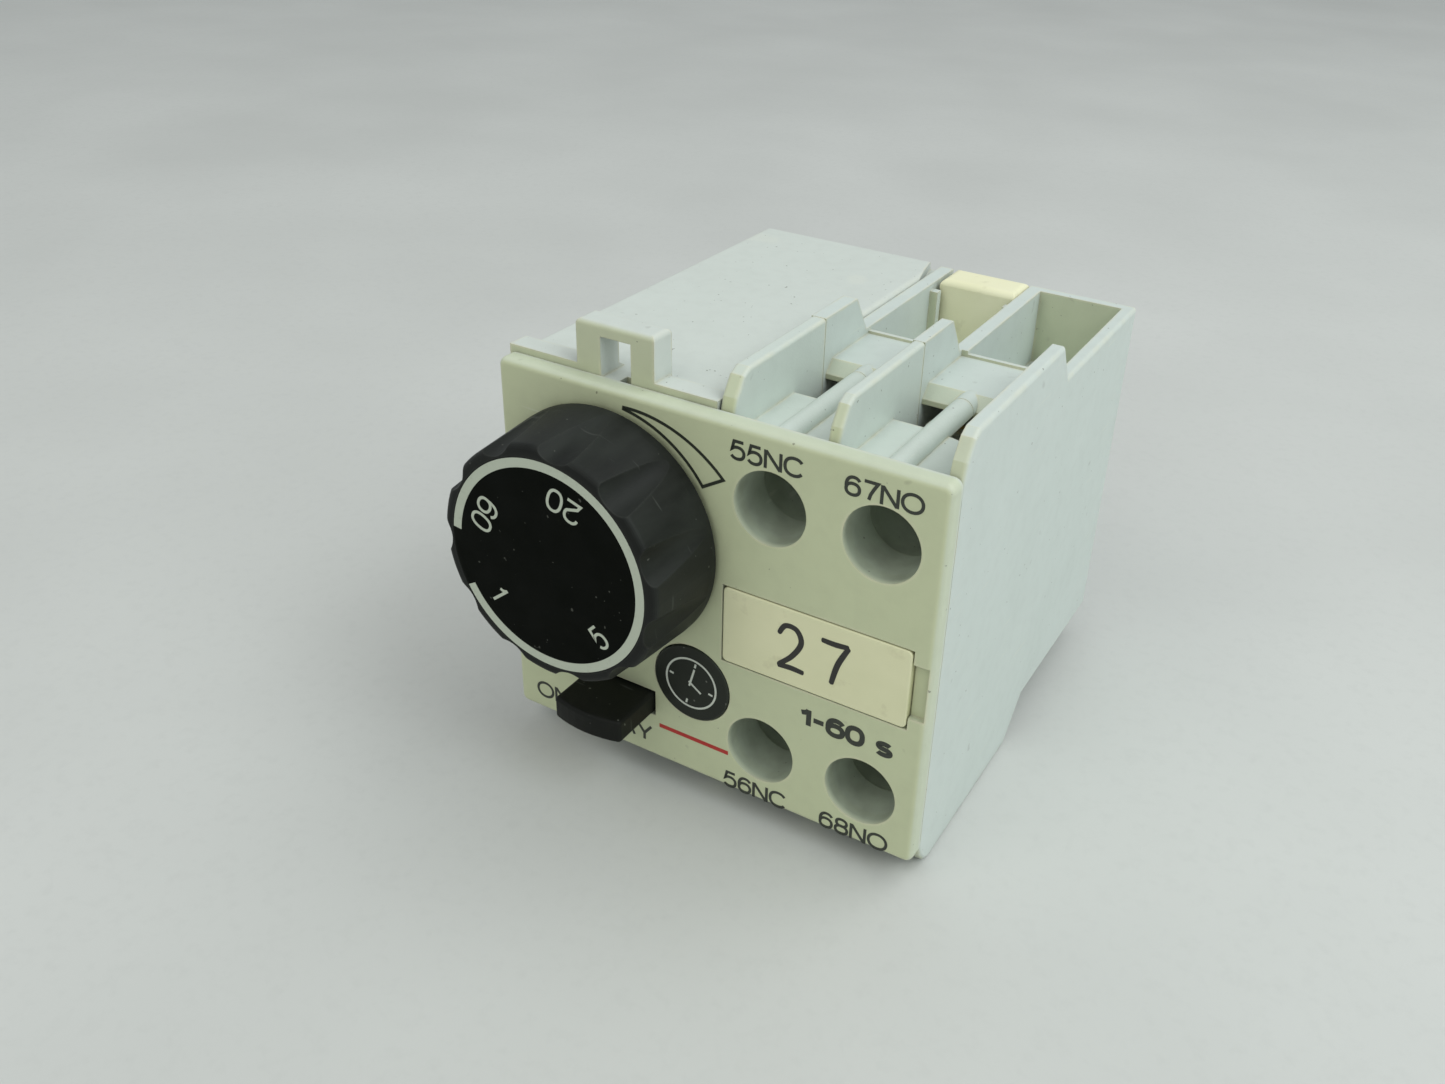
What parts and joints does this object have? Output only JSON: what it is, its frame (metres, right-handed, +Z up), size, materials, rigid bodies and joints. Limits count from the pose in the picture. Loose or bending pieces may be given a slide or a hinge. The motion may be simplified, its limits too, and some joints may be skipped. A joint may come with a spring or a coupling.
{
  "type": "pneumatic timer block",
  "caption": "Clip-on pneumatic on-delay timer block with a fluted time knob, screw terminals, indicator tab and release latch.",
  "frame": {"origin": "centre of the rear mounting face, level with the middle of the front plate", "axes": "+X right seen from the front, -Y out of the front plate, +Z up towards the upper terminals"},
  "size_m": [0.045, 0.0614, 0.0466],
  "materials": {
    "cover_plastic": "fine moulded texture, pale grey-green",
    "housing_plastic": "fine moulded texture, light grey",
    "marker_cream": "smooth cream write-on plastic",
    "latch_cream": "satin cream plastic",
    "knob_black": "black moulded plastic, scuffed",
    "dial_black": "smooth black, printed in white",
    "slide_black": "black moulded plastic",
    "inner_plastic": "natural acetal",
    "rubber": "soft black rubber",
    "felt": "pressed felt",
    "spring_steel": "bright drawn steel",
    "plated_steel": "zinc plated steel",
    "contact_brass": "plain brass with silver contact pads"
  },
  "bodies": {
    "base": {"front_cover": "cover_plastic", "timer_housing": "housing_plastic", "contact_housing": "housing_plastic", "marker_plate": "marker_cream", "emblem_disc": "dial_black", "friction_washer": "spring_steel", "metering_gasket": "rubber", "air_head": "inner_plastic", "filter_felt": "felt", "bellows": "rubber", "bellows_spring": "spring_steel", "slide_return_spring": "spring_steel", "lever_pin": "spring_steel", "carrier_return_spring": "spring_steel", "latch_spring": "spring_steel", "nc_strip_top": "contact_brass", "nc_strip_bottom": "contact_brass", "no_strip_top": "contact_brass", "no_strip_bottom": "contact_brass"},
    "knob": {"time_knob": "knob_black", "dial_disc": "dial_black", "regulating_disc": "inner_plastic"},
    "slide": {"actuator_slide": "slide_black"},
    "plunger": {"bellows_plunger": "inner_plastic"},
    "lever": {"trip_lever": "inner_plastic"},
    "carrier": {"contact_carrier": "inner_plastic", "nc_bridge": "contact_brass", "no_bridge": "contact_brass", "nc_bridge_spring": "spring_steel", "no_bridge_spring": "spring_steel"},
    "latch": {"release_latch": "latch_cream"},
    "clamp_nc_top": {"nc_clamp_top": "plated_steel"},
    "screw_nc_top": {"nc_screw_top": "plated_steel"},
    "clamp_nc_bottom": {"nc_clamp_bottom": "plated_steel"},
    "screw_nc_bottom": {"nc_screw_bottom": "plated_steel"},
    "clamp_no_top": {"no_clamp_top": "plated_steel"},
    "screw_no_top": {"no_screw_top": "plated_steel"},
    "clamp_no_bottom": {"no_clamp_bottom": "plated_steel"},
    "screw_no_bottom": {"no_screw_bottom": "plated_steel"}
  },
  "joints": [
    {"name": "knob_turn", "type": "hinge", "parent": "base", "child": "knob", "pos_m": [-0.0104, -0.049, 0.0058], "axis": [0, -1, 0], "range_deg": [-72, 222]},
    {"name": "slide_travel", "type": "slide", "parent": "base", "child": "slide", "axis": [0, 1, 0], "range_m": [0, 0.0045], "deforming": ["slide_return_spring"]},
    {"name": "plunger_travel", "type": "slide", "parent": "base", "child": "plunger", "axis": [0, 1, 0], "range_m": [0, 0.00225], "deforming": ["bellows", "bellows_spring"]},
    {"name": "lever_trip", "type": "hinge", "parent": "base", "child": "lever", "pos_m": [-0.0029, -0.02, 0], "axis": [0, 0, -1], "range_deg": [0, 20]},
    {"name": "carrier_travel", "type": "slide", "parent": "base", "child": "carrier", "axis": [0, -1, 0], "range_m": [0, 0.00255], "deforming": ["carrier_return_spring"]},
    {"name": "latch_press", "type": "slide", "parent": "base", "child": "latch", "axis": [0, 0, -1], "range_m": [0, 0.002], "deforming": ["latch_spring"]},
    {"name": "clamp_nc_top_lift", "type": "slide", "parent": "base", "child": "clamp_nc_top", "axis": [0, -1, 0], "range_m": [0, 0.003]},
    {"name": "screw_nc_top_turn", "type": "hinge", "parent": "clamp_nc_top", "child": "screw_nc_top", "pos_m": [0.0064, -0.0355, 0.0126], "axis": [0, -1, 0], "range_deg": [0, 1800]},
    {"name": "clamp_nc_bottom_lift", "type": "slide", "parent": "base", "child": "clamp_nc_bottom", "axis": [0, -1, 0], "range_m": [0, 0.003]},
    {"name": "screw_nc_bottom_turn", "type": "hinge", "parent": "clamp_nc_bottom", "child": "screw_nc_bottom", "pos_m": [0.0064, -0.0355, -0.0134], "axis": [0, -1, 0], "range_deg": [0, 1800]},
    {"name": "clamp_no_top_lift", "type": "slide", "parent": "base", "child": "clamp_no_top", "axis": [0, -1, 0], "range_m": [0, 0.003]},
    {"name": "screw_no_top_turn", "type": "hinge", "parent": "clamp_no_top", "child": "screw_no_top", "pos_m": [0.01685, -0.0355, 0.0126], "axis": [0, -1, 0], "range_deg": [0, 1800]},
    {"name": "clamp_no_bottom_lift", "type": "slide", "parent": "base", "child": "clamp_no_bottom", "axis": [0, -1, 0], "range_m": [0, 0.003]},
    {"name": "screw_no_bottom_turn", "type": "hinge", "parent": "clamp_no_bottom", "child": "screw_no_bottom", "pos_m": [0.01685, -0.0355, -0.0134], "axis": [0, -1, 0], "range_deg": [0, 1800]}
  ],
  "couplings": [
    {"joint": "plunger_travel", "follows": "slide_travel", "ratio": 0.5},
    {"joint": "lever_trip", "follows": "slide_travel", "rad_per_m": 77.57},
    {"joint": "carrier_travel", "follows": "slide_travel", "ratio": 0.56667},
    {"joint": "screw_nc_top_turn", "follows": "clamp_nc_top_lift", "rad_per_m": 10472},
    {"joint": "screw_nc_bottom_turn", "follows": "clamp_nc_bottom_lift", "rad_per_m": 10472},
    {"joint": "screw_no_top_turn", "follows": "clamp_no_top_lift", "rad_per_m": 10472},
    {"joint": "screw_no_bottom_turn", "follows": "clamp_no_bottom_lift", "rad_per_m": 10472}
  ]
}
